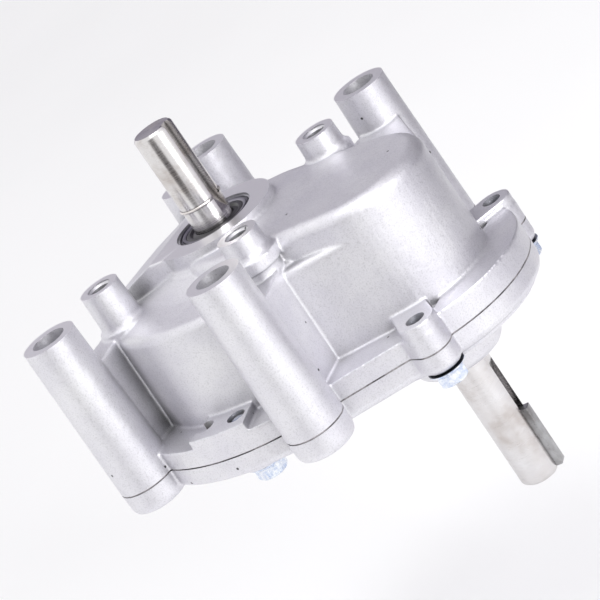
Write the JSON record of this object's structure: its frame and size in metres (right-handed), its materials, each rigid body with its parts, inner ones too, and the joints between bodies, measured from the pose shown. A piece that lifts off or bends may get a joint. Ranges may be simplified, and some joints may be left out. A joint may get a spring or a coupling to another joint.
{
  "type": "single-stage reduction gearbox",
  "caption": "Cast gearbox with mounting posts, a bolted cover, and two parallel keyed shafts that leave opposite faces, geared together inside.",
  "frame": {"origin": "where the output shaft's axis crosses the plane of the mounting post tops", "axes": "+Z along the output shaft, out of the housing; +X from the output shaft's axis towards the input shaft's; +Y along the long side of the mounting hole pattern"},
  "size_m": [0.2145, 0.1892, 0.223],
  "materials": {
    "cast_aluminium": "bead-blasted die casting",
    "ground_steel": "ground and polished, light oil stains",
    "gear_steel": "cut and oiled",
    "bearing_steel": "ground",
    "brass": "pressed",
    "black_rubber": "moulded",
    "gasket_paper": "compressed fibre",
    "zinc_plate": "blue-white zinc plate"
  },
  "bodies": {
    "casing": {"upper_housing": "cast_aluminium", "lower_cover": "cast_aluminium", "cover_gasket": "gasket_paper", "cover_bolt_1": "zinc_plate", "cover_bolt_2": "zinc_plate", "cover_bolt_3": "zinc_plate", "cover_bolt_4": "zinc_plate", "cover_bolt_5": "zinc_plate", "cover_bolt_6": "zinc_plate", "dowel_pin_1": "ground_steel", "dowel_pin_2": "ground_steel", "output_oil_seal": "black_rubber", "input_oil_seal": "black_rubber", "output_seal_spring": "ground_steel", "input_seal_spring": "ground_steel", "output_upper_bearing_outer_race": "bearing_steel", "output_lower_bearing_outer_race": "bearing_steel", "input_upper_bearing_outer_race": "bearing_steel", "input_lower_bearing_outer_race": "bearing_steel"},
    "output_train": {"output_shaft": "ground_steel", "output_gear": "gear_steel", "gear_key": "gear_steel", "gear_spacer": "ground_steel", "shaft_snap_ring": "ground_steel", "output_upper_bearing_inner_race": "bearing_steel", "output_lower_bearing_inner_race": "bearing_steel"},
    "input_train": {"input_pinion_shaft": "ground_steel", "input_shaft_key": "gear_steel", "input_upper_bearing_inner_race": "bearing_steel", "input_lower_bearing_inner_race": "bearing_steel"},
    "output_upper_cage": {"output_upper_bearing_ball_cage": "brass"},
    "output_lower_cage": {"output_lower_bearing_ball_cage": "brass"},
    "input_upper_cage": {"input_upper_bearing_ball_cage": "brass"},
    "input_lower_cage": {"input_lower_bearing_ball_cage": "brass"}
  },
  "joints": [
    {"name": "output_shaft_spin", "type": "hinge", "parent": "casing", "child": "output_train", "pos_m": [0, 0, -0.0215], "axis": [0, 0, 1], "continuous": true},
    {"name": "input_shaft_spin", "type": "hinge", "parent": "casing", "child": "input_train", "pos_m": [0.075, 0, -0.09], "axis": [0, 0, 1], "continuous": true},
    {"name": "output_upper_cage_spin", "type": "hinge", "parent": "casing", "child": "output_upper_cage", "pos_m": [0, 0, -0.0215], "axis": [0, 0, 1], "continuous": true},
    {"name": "output_lower_cage_spin", "type": "hinge", "parent": "casing", "child": "output_lower_cage", "pos_m": [0, 0, -0.088], "axis": [0, 0, 1], "continuous": true},
    {"name": "input_upper_cage_spin", "type": "hinge", "parent": "casing", "child": "input_upper_cage", "pos_m": [0.075, 0, -0.025], "axis": [0, 0, 1], "continuous": true},
    {"name": "input_lower_cage_spin", "type": "hinge", "parent": "casing", "child": "input_lower_cage", "pos_m": [0.075, 0, -0.09], "axis": [0, 0, 1], "continuous": true}
  ],
  "couplings": [
    {"joint": "input_shaft_spin", "follows": "output_shaft_spin", "ratio": -3.4118},
    {"joint": "output_upper_cage_spin", "follows": "output_shaft_spin", "ratio": 0.38657},
    {"joint": "output_lower_cage_spin", "follows": "output_shaft_spin", "ratio": 0.38657},
    {"joint": "input_upper_cage_spin", "follows": "output_shaft_spin", "ratio": -1.3189},
    {"joint": "input_lower_cage_spin", "follows": "output_shaft_spin", "ratio": -1.3189}
  ]
}
